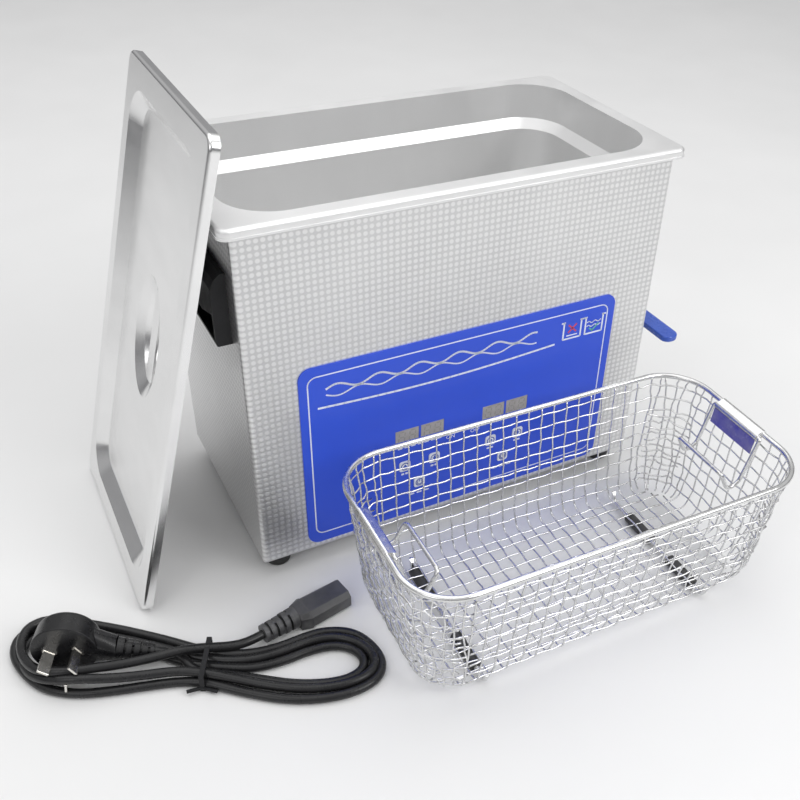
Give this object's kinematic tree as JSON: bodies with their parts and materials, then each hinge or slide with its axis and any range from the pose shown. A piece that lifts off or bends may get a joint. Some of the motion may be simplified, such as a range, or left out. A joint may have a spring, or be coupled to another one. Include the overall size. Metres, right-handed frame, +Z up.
{
  "type": "ultrasonic cleaner",
  "caption": "Bench-top ultrasonic cleaner: stainless tank in an embossed steel case with key panel and drain valve, with its lid, wire basket and mains lead.",
  "frame": {"origin": "bottom centre of the cleaner with its leaning lid and its basket, on the bench", "axes": "+X towards the drain valve, -Y towards the key panel and the user, +Z up"},
  "size_m": [0.5482, 0.3535, 0.3206],
  "materials": {
    "case_steel": "embossed, satin",
    "tank_steel": "drawn, satin",
    "lid_steel": "pressed, satin",
    "wire_steel": "electropolished wire",
    "zinc_screw": "zinc plated",
    "plain_steel": "turned",
    "aluminium": "machined",
    "brass": "plain",
    "plated_brass": "nickel plated",
    "panel_blue": "printed film",
    "key_white": "domed film",
    "display_grey": "display window",
    "black_plastic": "moulded",
    "grey_plastic": "moulded",
    "black_rubber": "moulded",
    "black_pvc": "sheath",
    "blue_vinyl": "dipped sleeve",
    "board_green": "laminate",
    "piezo_grey": "silvered ceramic",
    "ferrite": "ferrite",
    "silicone_orange": "silicone pad"
  },
  "bodies": {
    "cleaner": {"case_wrap": "case_steel", "back_panel": "case_steel", "bottom_plate": "plain_steel", "rubber_feet": "black_rubber", "case_screws": "zinc_screw", "tank_rim": "tank_steel", "tank_well": "tank_steel", "heater_pads": "silicone_orange", "temperature_probe": "plain_steel", "transducer_horns": "aluminium", "piezo_rings": "piezo_grey", "transducer_masses": "plain_steel", "transducer_bolts": "plain_steel", "key_panel": "panel_blue", "display_modules": "display_grey", "control_board": "board_green", "key_switches": "black_plastic", "board_spacers": "grey_plastic", "driver_board": "board_green", "heat_sink": "aluminium", "output_transformer": "ferrite", "wiring_looms": "black_pvc", "side_handle_left": "black_plastic", "side_handle_right": "black_plastic", "handle_screws": "zinc_screw", "drain_fitting": "plated_brass", "drain_pipe": "plated_brass", "drain_nuts": "plated_brass", "valve_body": "plated_brass", "hose_nozzle": "plated_brass", "power_inlet": "black_plastic", "switch_housing": "black_plastic", "fan_frame": "black_plastic", "lead_plug": "black_pvc", "plug_pins": "plated_brass", "lead_hank": "black_pvc", "lead_connector": "black_pvc", "lead_tie": "black_plastic"},
    "lid": {"lid": "lid_steel", "lid_handle": "lid_steel"},
    "basket": {"basket_mesh": "wire_steel", "basket_rim": "wire_steel", "basket_foot_wires": "wire_steel", "foot_sleeves": "black_rubber", "handle_plates": "wire_steel"},
    "lift_left": {"lift_handle_left": "wire_steel"},
    "lift_right": {"lift_handle_right": "wire_steel"},
    "valve_handle": {"valve_lever": "plain_steel", "lever_sleeve": "blue_vinyl", "lever_nut": "zinc_screw", "valve_stem": "plated_brass", "valve_ball": "plain_steel"},
    "rocker": {"switch_rocker": "black_plastic"},
    "fan": {"fan_rotor": "black_plastic"},
    "press_timer_up": {"key_timer_up": "key_white"},
    "press_timer_down": {"key_timer_down": "key_white"},
    "press_timer_run": {"key_timer_run": "key_white"},
    "press_heat_up": {"key_heat_up": "key_white"},
    "press_heat_down": {"key_heat_down": "key_white"},
    "press_heat_run": {"key_heat_run": "key_white"}
  },
  "joints": [
    {"name": "lid_lift", "type": "slide", "parent": "cleaner", "child": "lid", "axis": [0, 0, 1], "range_m": [0, 0.3]},
    {"name": "basket_lift", "type": "slide", "parent": "cleaner", "child": "basket", "axis": [0, 0, 1], "range_m": [0, 0.3]},
    {"name": "lift_left_turn", "type": "hinge", "parent": "basket", "child": "lift_left", "pos_m": [-0.09875, -0.09733, 0.1046], "axis": [0.0236, 0.9997, 0], "range_deg": [-183, 0]},
    {"name": "lift_right_turn", "type": "hinge", "parent": "basket", "child": "lift_right", "pos_m": [0.17697, -0.10383, 0.1046], "axis": [0.0236, 0.9997, 0], "range_deg": [0, 183]},
    {"name": "valve_turn", "type": "hinge", "parent": "cleaner", "child": "valve_handle", "pos_m": [0.19361, 0.07892, 0.092], "axis": [0, 0, 1], "range_deg": [0, 90]},
    {"name": "rocker_tilt", "type": "hinge", "parent": "cleaner", "child": "rocker", "pos_m": [-0.04539, 0.15892, 0.064], "axis": [1, 0, 0], "range_deg": [-18, 0]},
    {"name": "fan_spin", "type": "hinge", "parent": "cleaner", "child": "fan", "pos_m": [0.08261, 0.15392, 0.064], "axis": [0, 1, 0], "continuous": true},
    {"name": "press_timer_up", "type": "slide", "parent": "cleaner", "child": "press_timer_up", "axis": [0, 1, 0], "range_m": [0, 0.0004], "stiffness_N_per_m": 300},
    {"name": "press_timer_down", "type": "slide", "parent": "cleaner", "child": "press_timer_down", "axis": [0, 1, 0], "range_m": [0, 0.0004], "stiffness_N_per_m": 300},
    {"name": "press_timer_run", "type": "slide", "parent": "cleaner", "child": "press_timer_run", "axis": [0, 1, 0], "range_m": [0, 0.0004], "stiffness_N_per_m": 300},
    {"name": "press_heat_up", "type": "slide", "parent": "cleaner", "child": "press_heat_up", "axis": [0, 1, 0], "range_m": [0, 0.0004], "stiffness_N_per_m": 300},
    {"name": "press_heat_down", "type": "slide", "parent": "cleaner", "child": "press_heat_down", "axis": [0, 1, 0], "range_m": [0, 0.0004], "stiffness_N_per_m": 300},
    {"name": "press_heat_run", "type": "slide", "parent": "cleaner", "child": "press_heat_run", "axis": [0, 1, 0], "range_m": [0, 0.0004], "stiffness_N_per_m": 300}
  ]
}
